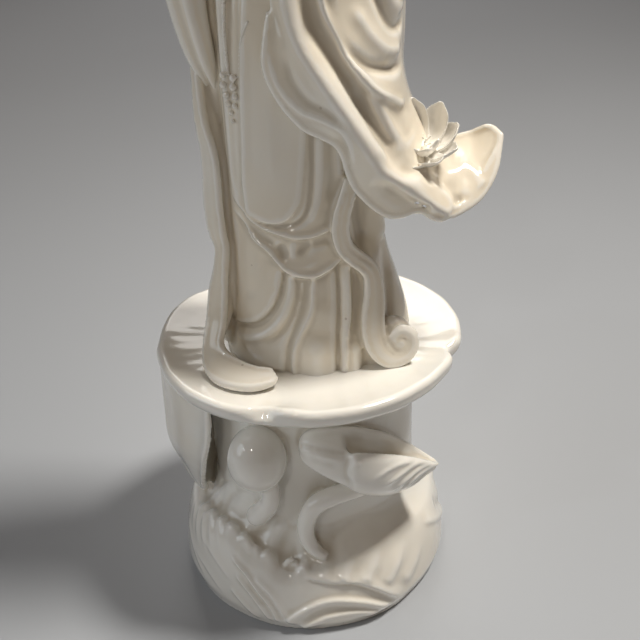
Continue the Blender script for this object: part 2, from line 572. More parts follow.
robeStrokes = [
    # folds that drag from the tongue of the overskirt to the left
    stroke([(-7.6, 39), (-8.8, 33), (-10.4, 27.6), (-14.2, 20.8), (-19.4, 15.6), (-26, 12.6), (-33, 11)],
           -2.2, 1.35, 0.5, (0.02, 0.25)),
    stroke([(-4.6, 38), (-4.8, 32), (-5.9, 27), (-9, 20), (-14.8, 13.2), (-22, 8.8), (-31, 5.4)], 1.3, 1.5,
           -0.2, (0.02, 0.2)),
    stroke([(-2.4, 37), (-2.8, 30), (-3.9, 25), (-6.6, 18.6), (-11.6, 11.6), (-19, 6)], -1.1, 1.3, 0.3,
           (0.05, 0.25)),
    stroke([(-12.6, 45), (-14.6, 36), (-19, 28), (-26, 22)], -0.5, 3.0, 0, (0.15, 0.3)),
    # the thin pleat at the middle, the broad swelling fold beside it, and the pleats at the right
    stroke([(0.6, 36.6), (-0.4, 29), (-2.2, 22), (-5, 15), (-7.8, 8), (-9.4, -4)], -1.2, 1.5, 0.4,
           (0.05, 0.02)),
    stroke([(3.2, 37), (2.8, 30), (2.2, 24.6), (0.4, 19.4), (-3, 13), (-5.2, 7), (-6, 1), (-5.8, -4)], 1.35,
           0.9, 0.35,
           (0.02, 0.02)),
    stroke([(8.4, 40), (8.4, 30), (7.6, 20)], -0.8, 3.2, 0, (0.1, 0.4)),
    stroke([(4.2, 15), (3.8, 8), (3.4, 0), (3.2, -5)], 2.2, 5.2, 0, (0.4, 0.0)),
    stroke([(13, 41), (13.4, 30), (13, 19), (12.2, 9), (11.8, -4)], -2.3, 1.15, -0.3, (0.02, 0)),
    stroke([(16.2, 43), (16.6, 30), (16.6, 21), (15.6, 14), (14.6, 7), (14, -4)], 1.6, 1.1, -0.3,
           (0.02, 0.05)),
    stroke([(19.4, 43), (19.4, 28), (18.8, 17), (17.6, 10)], -1.2, 1.6, 0, (0.05, 0.3)),
    stroke([(22.6, 42), (22, 28), (21, 18), (19.6, 10)], 0.8, 1.6, 0, (0.05, 0.3)),
    stroke([(17.4, 10), (17.2, 4), (17.4, -5)], 1.5, 3.2, 0, (0.4, 0.0)),
    stroke([(23, 16), (22.6, 6), (22.2, -4)], -1.4, 1.5, 0, (0.3, 0)),
    stroke([(26, 42), (26.6, 26), (27, 10), (27.6, -4)], 1.0, 2.2, 0, (0.1, 0)),
    stroke([(31, 46), (32.6, 24), (33.6, -4)], -1.2, 1.8, 0, (0.1, 0)),
    stroke([(-19, 5), (-21, -4)], 0.7, 3.0, 0, (0.4, 0)),
    # the deep hollow at the right of the ribbon and the fold that edges it
    stroke([(21, 112), (21.4, 92), (22, 74), (22.6, 60), (24, 48), (26, 38)], -4.0, 3.6, 0, (0.15, 0.2)),
    stroke([(29.6, 104), (29.8, 84), (29.8, 62), (31.4, 44), (34, 28)], 1.0, 1.8, 0, (0.15, 0.2)),
    # the groove round the bib, a ridge beside it and shallow folds that spread from under the sleeve
    stroke([(5.4, 104), (5, 92), (4.6, 82), (3.8, 71), (2.2, 63), (-1.6, 58.4), (-8, 56.8), (-14, 58.6),
            (-17.6, 63)], -1.25, 1.05, 0, (0.15, 0.15)),
    stroke([(7.6, 104), (7.4, 90), (6.8, 76), (5.4, 65), (2.6, 57.6)], 0.75, 1.2, 0, (0.2, 0.15)),
    stroke([(10.6, 104), (10.8, 90), (10.8, 76), (9, 64)], -0.6, 1.6, 0, (0.2, 0.2)),
    stroke([(13, 104), (14, 88), (14.6, 74), (13, 62)], 0.5, 1.8, 0, (0.2, 0.2)),
    # two hollows with a ridge between them in the tongue, and the soft valleys that lead there
    stroke([(-8.8, 51), (-7, 47.4), (-5.4, 43.6)], -1.3, 2.0, 0, (0.35, 0.35)),
    stroke([(3.4, 51), (0.8, 48.6), (-2.6, 44.6)], -1.1, 1.9, 0, (0.35, 0.4)),
    stroke([(-3, 52), (-3.4, 48), (-4.2, 44)], 0.5, 1.2, 0, (0.2, 0.3)),
    stroke([(-23, 60), (-15.4, 53.4), (-9, 49)], -0.8, 1.7, 0, (0.3, 0.2)),
    stroke([(12, 52), (7, 50.4), (3, 49.6)], -0.7, 1.5, 0, (0.3, 0.2)),
    stroke([(-9, 45), (-4, 41.4), (1, 41), (7, 43.6)], 0.5, 1.6, 0, (0.3, 0.3)),
    # the rolled lower edges of the sash and the overskirt
    stroke([(-22, 65.6), (-17.6, 60.2), (-13.2, 57), (-8.1, 55), (-3.2, 53.5), (1, 53.3), (5.2, 54),
            (9, 55.8), (13, 59)], 0.95, 1.05, 0, (0.15, 0.15)),
    stroke([(-22.8, 60.6), (-17, 51.9), (-12.2, 47.8), (-9, 43.7), (-5.8, 40.1), (-0.3, 38), (5.7, 38.2),
            (10, 40.5), (14, 44)], 1.1, 1.15, 0, (0.15, 0.15)),
    # the roll at the left of the bib, and the folds of the robe's left side
    stroke([(-17.4, 140), (-19.6, 117), (-20.8, 96), (-21.2, 78), (-20.4, 68)], -0.8, 1.0, 0, (0.02, 0.25)),
    stroke([(-20.6, 140), (-22.6, 116), (-23.4, 94), (-23.8, 76), (-24.2, 60), (-24.4, 42), (-25.4, 26),
            (-28, 10)], 1.1, 2.2, 0, (0.02, 0.1)),
    stroke([(-27, 130), (-27.6, 100), (-28, 74), (-28, 52), (-27.8, 34)], -1.4, 1.5, 0, (0.1, 0.2)),
    # quiet folds in the bib
    stroke([(-12.6, 128), (-13.4, 108), (-14.4, 88), (-14.6, 70)], -0.35, 1.8, 0, (0.2, 0.3)),
    stroke([(-7.4, 126), (-8, 104), (-8.6, 84), (-8.6, 68)], 0.3, 2.4, 0, (0.2, 0.3)),
]


def robeRelief(x, z):
    fades = rise(17.5, 13.5, x) * rise(-25, -20.5, x)
    over = rise(-0.6, 0.6, z - overskirtEdge(x)[..., 0]) * fades
    sash = rise(-0.6, 0.6, z - sashEdge(x)[..., 0]) * fades
    left, right = bibLeft(z)[..., 0], bibRight(z)[..., 0]
    across = np.abs((x - 0.5 * (left + right)) / (0.5 * (right - left)))
    bib = rise(-0.2, 1.1, x - left) * rise(0.2, -1.1, x - right)
    bib = bib * rise(-0.6, 0.7, z - 58.4 - 5.5 * across ** 3)
    layers = robe["overskirt"] * over + robe["sash"] * sash + robe["bib"] * bib
    return layers + robe["pleats"] * carve(robeStrokes, x, z)


def onRobe(x, z, out=0.0):
    middle, half, front, _ = robeSection(z).T
    c = np.clip(np.abs((x - middle) / half), 0, 1) ** (1 / robe["squareness"])
    s = np.sqrt(1 - c * c)
    relief = robeRelief(np.atleast_1d(x), np.atleast_1d(z))[0] * float(rise(0.05, 0.25, s)) + out
    return (float(x + np.sign(x - middle) * relief * c), float(-(front + relief) * s), z)


def buildRobe(clay):
    frontColumns, backColumns, rows = 520, 130, 560
    turn = np.concatenate([np.linspace(-np.pi, 0, frontColumns, endpoint=False),
                           np.linspace(0, np.pi, backColumns, endpoint=False)])[None]
    z = np.linspace(-5, 230, rows)[:, None]
    middle, half, front, back = robeSection(z[:, 0]).T[..., None]
    c, s = np.cos(turn), np.sin(turn)
    x = middle + half * np.sign(c) * np.abs(c) ** robe["squareness"]
    relief = robeRelief(x, z + 0 * x) * rise(-0.02, -0.2, s + 0 * z) * rise(200, 184, z)
    fold = np.sin(turn * 9 + 0.3 * np.sin(z / 18)) * rise(0, 0.4, s) * rise(90, 20, z)
    depth = np.where(s < 0, front, back)
    clay.loft(figurePoint(x + (relief + fold) * c, (depth + relief + fold) * s, z))


# rows of x, y, z, half width, thickness as a share, and the way the face looks
leftRibbon = [
    (-33.4, -10, 122, 2.2, 0.9, -0.8, -0.6, 0), (-33.7, -12, 105, 2.3, 0.95, -0.8, -0.6, 0),
    (-33.3, -13.4, 93, 2.7, 1, -0.7, -0.7, 0), (-31.8, -14.6, 83, 3.4, 1, -0.6, -0.8, 0),
    (-31.7, -15, 73, 4.0, 1, -0.6, -0.8, 0), (-32.2, -15, 62, 4.3, 1, -0.6, -0.8, 0),
    (-31.6, -15.6, 52, 4.0, 1.05, -0.6, -0.8, 0), (-30.4, -16.2, 45.6, 3.4, 1.1, -0.7, -0.7, 0),
    (-31.6, -16.8, 37, 3.4, 1.1, -0.7, -0.7, 0), (-33.6, -17.6, 27, 4.6, 1, -0.6, -0.8, 0.1),
    (-35.2, -19.6, 16, 5.0, 1.05, -0.6, -0.8, 0.2), (-37, -23.4, 7.5, 5.4, 1.1, -0.6, -0.6, 0.5),
    (-35.6, -29.6, 3.2, 6.3, 1.2, -0.4, -0.5, 0.8), (-30, -36.2, 1.6, 7.1, 1.25, -0.1, -0.3, 1),
    (-22.4, -40, 1.0, 6.6, 1.3, 0, -0.2, 1), (-16, -40, 1.0, 4.8, 1.25, 0, -0.2, 1),
    (-12.8, -38.6, 1.0, 2.4, 1.1, 0, -0.2, 1)]
rightRibbon = [
    (18.6, -25.6, 74, 2.6, 1, 0.2, -1, 0), (16, -27, 66, 2.8, 1.1, 0.2, -1, 0),
    (14.4, -27.4, 60.4, 3.0, 1.1, 0.2, -1, 0), (14, -27.4, 54.2, 3.2, 1.1, 0.2, -1, 0),
    (15.5, -27, 48.1, 3.3, 1.1, 0.3, -1, 0.1), (19.2, -26, 43.4, 3.4, 1.15, 0.5, -1, 0.1),
    (23, -25, 39.6, 3.5, 1.2, 0.6, -1, 0.1), (25.3, -24.4, 35, 3.6, 1.2, 0.6, -1, 0.1),
    (26, -24.6, 27, 4.2, 1.3, 0.5, -1, 0.15), (25.4, -26, 18, 4.7, 1.5, 0.35, -1, 0.2),
    (25.6, -27.4, 10.6, 4.7, 1.6, 0.3, -1, 0.25), (27.6, -28.6, 5, 4.6, 1.6, 0.2, -1, 0.25),
    (31, -29, 1.4, 4.1, 1.6, 0.2, -1, 0.25), (34.8, -28.6, 0.6, 3.4, 1.6, 0.2, -1, 0.25),
    (38.6, -27.8, 2.2, 2.7, 1.6, 0.2, -1, 0.25), (40.6, -27, 6, 2.3, 1.6, 0.2, -1, 0.25),
    (39.8, -26.6, 10.6, 2.2, 1.6, 0.2, -1, 0.25), (36.4, -26.8, 12.4, 2.0, 1.55, 0.2, -1, 0.25),
    (33.6, -27.2, 10, 1.8, 1.5, 0.2, -1, 0.25), (34, -27.4, 6.6, 1.6, 1.45, 0.2, -1, 0.25),
    (36.4, -27.2, 6, 1.2, 1.4, 0.2, -1, 0.25)]


def buildRibbon(clay, rows, steps):
    points = lift([row[:3] for row in rows])
    widths = [row[3] for row in rows]
    flats = [row[4] * robe["ribbonThickness"] for row in rows]
    looks = [row[5:] for row in rows]
    clay.tube(points, widths, 36, steps, flats, looks)
    # the cloth behind it lies against the robe
    behind = [(x * 0.92, y + 4, z) for x, y, z in points if z > leafHeight + 5]
    clay.tube(behind, [2.6] + [robe["backing"]] * (len(behind) - 3) + [2.8, 0.8], 24, steps // 2)
    # raised selvages leave a shallow channel between them
    line = np.array(points)
    ahead = np.gradient(line, axis=0)
    for side, lifted in ((-0.78, 0.62), (0.78, 0.5)):
        edge = []
        for p, d, w, f, look in zip(line, ahead, widths, flats, looks):
            look = np.array(look, float)
            d = d / np.linalg.norm(d)
            look = look - d * (look @ d)
            look /= np.linalg.norm(look)
            edge.append(p + np.cross(d, look) * w * side + look * f * lifted)
        clay.tube(edge, [min(robe["selvage"], w * 0.4) for w in widths], 14, steps)


def buildRibbons(clay):
    buildRibbon(clay, leftRibbon, 340)
    buildRibbon(clay, rightRibbon, 420)
    # one lump fills the heart of the scroll, and one joins the left ribbon's bend to the robe
    clay.ball(figurePoint(*robe["scrollHeart"]), (4.8, 2.8, 4.8), 30, 36)
    clay.ball(figurePoint(*robe["bendFill"]), (4.4, 3.8, 8), 30, 36)


robePiece = build("robe", robe, buildRobe, buildRibbons)


# the mantle: a wide sleeve, the right arm, the hood and the cape

mantle = {
    "clothThickness": 3.2,
    "clothLean": (-0.3, 0.8, -0.5),
    "hangsFreeFrom": 0.5,
    "foldDepth": 1.0,
    "edgeRoll": 1.5,
    "voxel": 0.68,
    "soften": 3,
    "triangles": 170000,
}

hood = {"voxel": 0.8, "soften": 3, "triangles": 110000}

# each row crosses the sleeve from the edge on the chest, over two rolls with a valley between,
# to the edge behind the arm; the last rows turn up like a scoop
sleeveRows = [
    [[-7, -12, 208], [0, -13, 210], [6, -12, 212], [14, -8, 212], [22, -2, 209], [27, 6, 205]],
    [[-9, -25, 190], [-1, -28, 192], [7, -26, 194], [18, -24, 195], [32, -12, 194], [38, 6, 188]],
    [[-8, -29, 160], [-1, -33, 163], [8, -30.6, 164], [15, -31.4, 166], [36, -14, 166], [43, 5, 164]],
    [[-6, -29.5, 133], [0.6, -33.5, 136], [7, -31, 136], [12.6, -32, 136], [34, -16, 136], [41, 3, 135]],
    [[-8, -31, 114], [5, -35.5, 118], [14, -32, 118], [19, -32, 119.5], [35, -16, 120.5], [40.4, 2, 121]],
    [[1.5, -33, 97.5], [13.4, -37, 103.5], [22, -32.4, 104.5], [27.4, -30, 106.5], [37.7, -12, 107.5],
     [40.3, 2, 106]],
    [[14.5, -33.5, 89], [22, -37.5, 89], [31, -30.6, 88.6], [35.6, -25.4, 92], [43, -7, 93.5], [45, 5, 92]],
    [[20, -32.5, 74], [30, -37, 79], [37, -28.2, 78], [46, -18, 76], [54, -4, 76], [56.7, 8, 78]],
    [[31, -31, 62.6], [38.6, -35, 72.5], [45, -24, 72.5], [55, -17, 69], [63.8, -5, 73.5], [66, 7, 78.4]],
    [[42.5, -30, 62], [44.7, -33, 67], [51, -24, 66.5], [61.4, -18, 65], [70, -8, 72.5], [72.7, 2, 82.4]],
    [[51, -28, 58.6], [53, -27.5, 59.5], [57.2, -24, 58.8], [66.4, -18, 62], [73.3, -11, 70.3],
     [76.3, -3, 80.6]],
]
sleeveShares = [0, 0.16, 0.36, 0.56, 0.82, 1]

# carved as seen from the front, in x and height
sleeveStrokes = [
    # the lit roll, the valley behind it, the second roll and the creases under the arm
    stroke([(-3, 156), (-1.5, 138), (0.3, 128.8), (3.4, 120.6), (9, 111.6), (16, 100.8), (24, 89.8),
            (31.6, 81)], 1.5, 2.6, 0, (0.2, 0.1)),
    stroke([(4.6, 152), (4.4, 137.4), (7.4, 126), (13, 117), (19.4, 107), (25.6, 96.6), (31, 87), (36, 79)],
           -1.1, 2.0, 0, (0.2, 0.1)),
    stroke([(8.6, 148), (10.4, 135.2), (14.2, 125.6), (19, 116.2), (25.4, 107.2), (33.6, 100.4), (38.4, 96)],
           1.8, 1.5, 0.2, (0.15, 0.1)),
    stroke([(11, 142), (12.6, 130.2), (17.3, 120.5), (23.8, 114.6), (30.6, 111.4), (38, 109)], -2.0, 1.8, 0,
           (0.15, 0.1)),
    stroke([(25, 142), (29.2, 132.6), (31.4, 127.6), (34.6, 123.4), (38.4, 122.6)], -1.7, 1.9, 0,
           (0.2, 0.08)),
    stroke([(19, 134), (25, 124), (31, 117.4), (37, 115.4)], 1.2, 2.2, 0, (0.2, 0.1)),
    stroke([(30, 140), (34, 132), (38, 128)], 1.0, 2.2, 0, (0.2, 0.1)),
    stroke([(20, 109), (24.6, 100), (30, 90.4), (35, 84)], -1.4, 2.2, 0, (0.2, 0.2)),
    stroke([(31, 104), (36, 93), (41, 85.6)], -0.9, 2.4, 0, (0.3, 0.2)),
    # the chest edge, the lit roll in the scoop and the hollow beside it
    stroke([(-6, 140), (-7.6, 126), (-7.4, 117), (-5.4, 109.8), (-2.2, 104.8), (2.4, 100.6), (9, 98),
            (15.4, 94.4), (18.4, 88), (19.4, 79)], 0.9, 1.2, 0.3, (0.1, 0.1)),
    stroke([(-3, 122), (-1, 112), (4, 104.6), (11, 100.4), (17.6, 94)], -0.8, 1.8, 0, (0.2, 0.2)),
    stroke([(36, 79), (41.4, 75.4), (46.6, 71.4), (52.2, 65.4), (54.6, 59.6)], 1.3, 3.4, 0.2, (0.3, 0.05)),
    stroke([(45.6, 75), (51, 70.9), (56.3, 65.8), (59, 60.4)], -2.2, 2.6, 0, (0.4, 0.05)),
    stroke([(26, 78), (33, 70.4), (40, 65), (47, 60.6)], -1.7, 3.4, 0, (0.3, 0.15)),
    stroke([(58, 74), (64, 70), (68, 65)], 0.8, 2.4, 0, (0.3, 0.1)),
    # plainer folds from the shoulder down
    stroke([(2, 198), (-1, 180), (-3, 160)], 1.0, 2.4, 0, (0.3, 0.2)),
    stroke([(12, 200), (9.6, 182), (8.4, 164), (8.6, 150)], 1.3, 2.2, 0, (0.3, 0.2)),
    stroke([(7, 194), (4, 176), (3, 156)], -1.2, 1.9, 0, (0.3, 0.2)),
    stroke([(17, 196), (14, 180), (12, 160), (12, 144)], -1.2, 1.9, 0, (0.3, 0.2)),
    stroke([(22, 202), (20, 184), (17.4, 166), (16, 150)], 1.1, 2.4, 0, (0.3, 0.2)),
    stroke([(33, 192), (31, 174), (28, 158), (25, 144)], 1.1, 2.4, 0, (0.3, 0.2)),
]


def buildSleeve(clay):
    rows, columns = 330, 170
    t = np.linspace(0, 1, rows)
    place = np.linspace(0, 1, len(sleeveRows))
    guides = [through([(place[k], *row[i]) for k, row in enumerate(sleeveRows)])(t) for i in range(6)]
    share = np.linspace(0, 1, columns)
    face = np.stack([through([(at, *guide[k]) for at, guide in zip(sleeveShares, guides)])(share)
                     for k in range(rows)])
    normal = np.cross(np.gradient(face, axis=1), np.gradient(face, axis=0))
    normal /= np.linalg.norm(normal, axis=-1, keepdims=True) + 1e-9
    normal *= np.sign(-normal[..., 1].mean())
    s, along = share[None, :], t[:, None]
    carved = mantle["foldDepth"] * carve(sleeveStrokes, face[..., 0], face[..., 2])
    face = face + normal * carved[..., None]
    thin = mantle["clothThickness"] * (1 + 0.8 * np.sin(np.pi * s) * (1 - along))
    inward = thin[..., None] * np.array(mantle["clothLean"])
    cloth = face + inward
    chest = face[:, :1] + np.array([4, 28, 0])
    limb = chest + (face[:, -1:] - chest) * s[..., None]
    limb = limb + np.sin(np.pi * s)[..., None] * np.array([4, 10, 0])
    free = rise(mantle["hangsFreeFrom"], mantle["hangsFreeFrom"] + 0.16, along)[..., None]
    back = limb + (cloth - limb) * free
    clay.sheet(figurePoint(*np.moveaxis(face, -1, 0)), figurePoint(*np.moveaxis(back, -1, 0)))
    # the hem is rolled, from the chest down and around the scoop
    middle = face + 0.45 * inward
    start = int(rows * 0.3)
    hem = np.concatenate([middle[start::12, 0], middle[-1, ::12], middle[::-1][:int(rows * 0.42):12, -1]])
    size = mantle["edgeRoll"]
    clay.tube(lift(hem), [size * 0.7] + [size] * (len(hem) - 2) + [size * 0.7], 14, 8 * len(hem))


def buildArm(clay):
    hanging = through([
        (0, -24, 2, 207, 5, 6), (0.08, -27, 2, 202, 9, 11), (0.22, -31.5, 1, 188, 11, 13),
        (0.45, -35, -3, 162, 11, 17), (0.7, -33.5, -5, 136, 8.5, 18), (0.9, -31, -5, 116, 6.5, 14),
        (1, -28, -4, 102, 3, 7)])
    t = np.linspace(0, 1, 150)
    x, y, z, wide, deep = hanging(t).T[..., None]
    turn = circle(160)
    fold = 0.9 * np.sin(turn * 5 + t[:, None] * 1.4) + 0.45 * np.sin(turn * 9 - t[:, None] * 4)
    fold = fold * rise(0, 0.6, t)[:, None]
    clay.loft(figurePoint(x + (wide + fold) * np.cos(turn), y + (deep + fold) * np.sin(turn), z + 0 * turn))
    clay.tube(lift([(-36, -4, 166), (-30, -17, 166), (-20, -27, 170), (-12, -31, 174)]),
              [11, 11, 10, 9], 40, 60, [10, 10, 8, 6.5])
    clay.tube(lift([(-23, -22, 170), (-19, -26, 163), (-18, -26, 156)]), [10, 8, 4.5], 36, 60, [10, 7, 3.5])
    # a rolled cuff, and drag folds over the forearm
    cuff = [(-11.5 + 1.2 * math.sin(a), -31 - 6.8 * math.cos(a), 173 + 9 * math.sin(a) - 1.2)
            for a in np.linspace(-2.2, 2.2, 12)]
    clay.tube(lift(cuff), [1.3] * 12, 12)
    for shift in (0, 7, 14):
        clay.tube(lift([(-34 + shift, -16 - shift * 0.55, 176), (-31 + shift, -19 - shift * 0.5, 168),
                        (-27 + shift, -20 - shift * 0.4, 160)]), [0.6, 1.7, 0.6], 12)


# height, half width, how far the front lies before the middle, and the back's depth
hoodSection = through([
    (52, 33, -4, 29.5), (90, 35, -3, 28.5), (130, 37.5, -2, 27.5), (160, 38.5, 3, 26.5), (180, 39, 8, 25.5),
    (192, 38.5, 9, 24.5), (201, 34.5, 8, 23), (209, 27, 7, 21.5), (218, 21.5, 6, 20.5), (232, 19.5, 6, 20),
    (248, 19, 6, 19), (261, 17, 6.5, 16.5), (272, 13, 6.5, 12.5), (280, 8, 5, 8), (284, 3.6, 2.6, 3.8),
    (285.4, 0.8, 0.6, 0.8)])


def buildHood(clay):
    dome = 270 + 15.4 * np.sin(np.linspace(0.02, np.pi / 2, 60))
    height = np.concatenate([np.linspace(52, 270, 270), dome])
    z = height[:, None]
    turn = circle(330)
    c, s = np.cos(turn), np.sin(turn)
    wide, front, back = hoodSection(height).T[..., None]
    behind = rise(-0.1, 0.35, s)
    sway = 0.5 * np.sin(z / 26)
    fold = 1.5 * np.sin(turn * 7 + sway) + 0.7 * np.sin(turn * 12 - 1.5 * sway)
    fold = fold * behind * rise(284, 214, z) * (0.55 + 0.45 * rise(190, 70, z))
    # cloth drawn tight over the knot of hair, with creases that fan down to the shoulders
    crease = 0.7 * np.sin(turn * 13) * behind * bump(z - 214, 16) - 0.8 * bump(z - 216, 5) * behind
    crease = crease + 0.6 * np.sin(z / 4.2 + 5 * c) * bump(z - 238, 22) * behind
    recess = 0.45 + 0.55 * np.abs(c) ** 2
    hem = 3 * np.sin(turn * 5) * rise(60, 52, z)
    reach = fold + crease
    depth = np.where(s < 0, front * recess, back + reach)
    clay.loft(figurePoint(-0.5 + (wide + reach) * c, depth * s, z + hem))
    half = [(19, -7, 205, 3.2), (19.6, -5, 212, 3.0), (19.4, -4, 222, 2.8), (18.8, -4, 234, 2.6),
            (17.4, -4.6, 248, 2.6), (14.6, -5.4, 260, 2.7), (10.2, -6, 269.6, 2.8), (5, -5.8, 275.6, 2.9),
            (0, -5.5, 278, 3.0)]
    arch = [(-x, y, z, r) for x, y, z, r in half] + half[:-1][::-1]
    clay.tube(lift([(x - 0.5, y, z) for x, y, z, r in arch]), [r for *_, r in arch], 26, 220)
    # the roll runs on down over the shoulders to the chest
    for side in (-1, 1):
        clay.tube(lift([(side * 19 - 0.5, -7, 206), (side * 19.5, -12, 200), (side * 17.5, -17.5, 193),
                        (side * 13, -21.5, 184)]), [3.1, 2.8, 2.4, 1.4], 22, 60)


sleevePiece = build("sleeves", mantle, buildSleeve, buildArm)
hoodPiece = build("hoodAndCape", hood, buildHood)


# the head, the hand, the collar and the beads

head = {
    "faceHeight": 30.0,
    "chinHeight": 221.0,
    "middle": (-0.5, -3.5),
    "noseDepth": 3.1,
    "lipDepth": 0.95,
    "hairDepth": 1.5,
    "beadRadius": 1.3,
    "strandBead": 0.85,
    "voxel": 0.42,
    "soften": 2,
    "triangles": 110000,
}

# share of the face's height, half width, front depth and back depth
headSection = through([
    (-0.06, 2.8, 8, 2), (0, 5.2, 10.4, 5), (0.1, 7.8, 11.8, 9), (0.25, 10.1, 12.4, 11.5),
    (0.45, 11.6, 12.6, 13.5), (0.7, 12.2, 12.8, 14.5), (0.95, 11.8, 12, 14.5), (1.15, 9.8, 9.2, 13),
    (1.3, 6.2, 5.2, 10), (1.38, 1.8, 1.2, 5)])


def faceRelief(x, share):
    side = np.abs(x)
    # the nose: a straight bridge that ends in a rounded tip with small wings
    length = rise(0.60, 0.36, share) * rise(0.29, 0.325, share)
    nose = head["noseDepth"] * length * bump(x, 1.25 + 0.6 * rise(0.45, 0.34, share))
    wings = 0.9 * bump(side - 1.9, 0.85) * bump(share - 0.335, 0.026)
    bridge = 0.5 * bump(x, 1.5) * bump(share - 0.57, 0.07)
    # lowered lids over quiet eyes, under long arched brows
    sockets = -bump(side - 4.6, 2.5) * bump(share - 0.55, 0.05)
    sockets = sockets - 0.5 * bump(side - 2.2, 1.2) * bump(share - 0.5, 0.05)
    lids = 0.95 * bump(side - 4.7, 2.0) * bump(share - 0.495, 0.036)
    lidLine = -0.55 * bump(share - 0.468 - 0.0016 * (side - 4.7) ** 2, 0.008) * bump(side - 4.7, 2.3)
    brows = 0.5 * bump(share - 0.64 + 0.0020 * (side - 4.4) ** 2, 0.013)
    brows = brows * rise(9.6, 8, side) * rise(1.2, 2.4, side)
    cheeks = 0.7 * bump(side - 6.2, 2.8) * bump(share - 0.34, 0.10)
    # full small lips with a line between, and a soft round chin
    upper = bump(x, 2.3) * bump(share - 0.214 + 0.003 * bump(x, 0.5), 0.017)
    lower = bump(x, 2.0) * bump(share - 0.170, 0.018)
    mouth = head["lipDepth"] * (upper + 1.05 * lower) - 0.4 * bump(x, 2.9) * bump(share - 0.192, 0.006)
    corners = -0.4 * bump(side - 3.1, 0.6) * bump(share - 0.192, 0.02)
    philtrum = -0.25 * bump(x, 0.55) * bump(share - 0.25, 0.02)
    chin = 1.0 * bump(x, 3.2) * bump(share - 0.055, 0.05) - 0.35 * bump(x, 3) * bump(share - 0.125, 0.02)
    return (nose + wings + bridge + sockets + lids + lidLine + brows + cheeks
            + mouth + corners + philtrum + chin)


def hairRelief(x, share, turn):
    # hair is parted in the middle and combed back in fine strands
    line = 0.985 - 0.0026 * x * x
    hair = rise(line - 0.015, line + 0.02, share)
    strands = 0.22 * np.sin(np.abs(turn + np.pi / 2) * 34 + share * 9)
    return hair * (head["hairDepth"] + strands - 0.5 * bump(x, 0.7))


def buildHead(clay):
    turn = circle(300, -np.pi)
    share = np.linspace(-0.06, 1.38, 300)[:, None]
    wide, front, back = headSection(share[:, 0]).T[..., None]
    c, s = np.cos(turn), np.sin(turn)
    x = wide * c
    relief = faceRelief(x, share) * rise(0.3, -0.3, s) + hairRelief(x, share, turn)
    y = np.where(s < 0, front, back) * s
    mx, my = head["middle"]
    clay.loft(figurePoint(mx + x + relief * c * 0.4, my + y + relief * s,
                          head["chinHeight"] + share * head["faceHeight"]))

    def strands(grid):
        turn = np.arctan2(grid[..., 1], grid[..., 0])
        return grid * (1 + 0.02 * np.sin(turn * 18 + grid[..., 2] * 0.5))[..., None]
    clay.ball(figurePoint(mx, my, 266), (8, 7.6, 10.5), 60, 120, strands)
    for side in (-1, 1):
        clay.tube(lift([(mx + side * 11.4, -4.4, 242.5), (mx + side * 12.2, -4.8, 239.5),
                        (mx + side * 12.3, -5.4, 236),
                        (mx + side * 11.5, -5.8, 231.5), (mx + side * 10.9, -5.8, 227),
                        (mx + side * 10.7, -5.6, 225)]),
                  [1.3, 2.0, 2.1, 1.5, 1.6, 1.0], 20, 60, [1.1, 1.5, 1.6, 1.3, 1.3, 0.9])
        # waves of hair frame the brow
        for k in range(3):
            out = k * 1.15
            clay.tube(lift([(mx + side * 0.8, -15.2 + 0.5 * k, 251.2 + out),
                            (mx + side * 4, -15.4 + 0.4 * k, 250.6 + out),
                            (mx + side * 7.4, -13.6 + 0.3 * k, 248 + out), (mx + side * 10, -10.4, 244 + out),
                            (mx + side * 11.8, -7.2, 240.5 + out)]), [0.7, 1.0, 1.1, 1.0, 0.6], 14, 60)


def buildCollar(clay):
    for side in (-1, 1):
        rows = [(side * 12, -9, 214, 3, 1.6), (side * 10, -17.5, 204, 3.4, 1.6),
                (side * 5, -22.5, 194, 3.6, 1.6), (-side * 2, -25, 184, 3.6, 1.6)]
        looks = [(side * 0.4, -1, 0.5), (side * 0.3, -1, 0.4), (0, -1, 0.3), (-side * 0.1, -1, 0.2)]
        points = lift([row[:3] for row in rows])
        clay.tube(points, [row[3] for row in rows], 26, 70, [row[4] for row in rows], looks)
        edge = [(p[0] - side * 2.6, p[1] - 1.2, p[2] + 0.8) for p in points]
        clay.tube(edge, [0.6, 0.8, 0.8, 0.6], 12, 60)
    # a string of beads lies on the chest
    for a in np.linspace(-1.25, 1.25, 19):
        clay.ball(figurePoint(8.6 * math.sin(a), -15.5 - 7.2 * math.cos(a) + 1.2, 210 - 13.5 * math.cos(a)),
                  head["strandBead"] * 1.15, 14, 18)
    clay.ball(figurePoint(0, -23.4, 194), (2.0, 1.5, 2.4), 18, 24)


def buildHand(clay):
    clay.tube(lift([(-14, -30.6, 173), (-10.5, -32.6, 175.4), (-7, -33.8, 178), (-4, -34.6, 180),
                    (-2, -34.8, 182)]),
              [3.2, 3.4, 4.2, 4.5, 3.6], 26, 60, [3, 2.6, 2.5, 2.2, 1.7])
    for i in range(4):
        spread = (i - 1.5) * 2.1
        reach = 10.5 - abs(i - 1.3) * 1.1
        clay.tube(lift([(-4.2 - spread * 0.5, -34.4, 180 + spread * 0.75),
                        (-1 + reach * 0.2 - spread * 0.45, -35.5, 182.4 + reach * 0.2 + spread * 0.68),
                        (-1 + reach * 0.42 - spread * 0.38, -35.6, 183.2 + reach * 0.42 + spread * 0.58),
                        (-1 + reach * 0.64 - spread * 0.3, -35, 183.6 + reach * 0.66 + spread * 0.5)]),
                  [1.25, 1.25, 1.1, 0.75], 16, 44)
    clay.tube(lift([(-8, -34.8, 177), (-5.6, -36.6, 180), (-3.6, -37.5, 183), (-1.6, -37, 185.4)]),
              [1.6, 1.5, 1.35, 0.9], 16, 44)


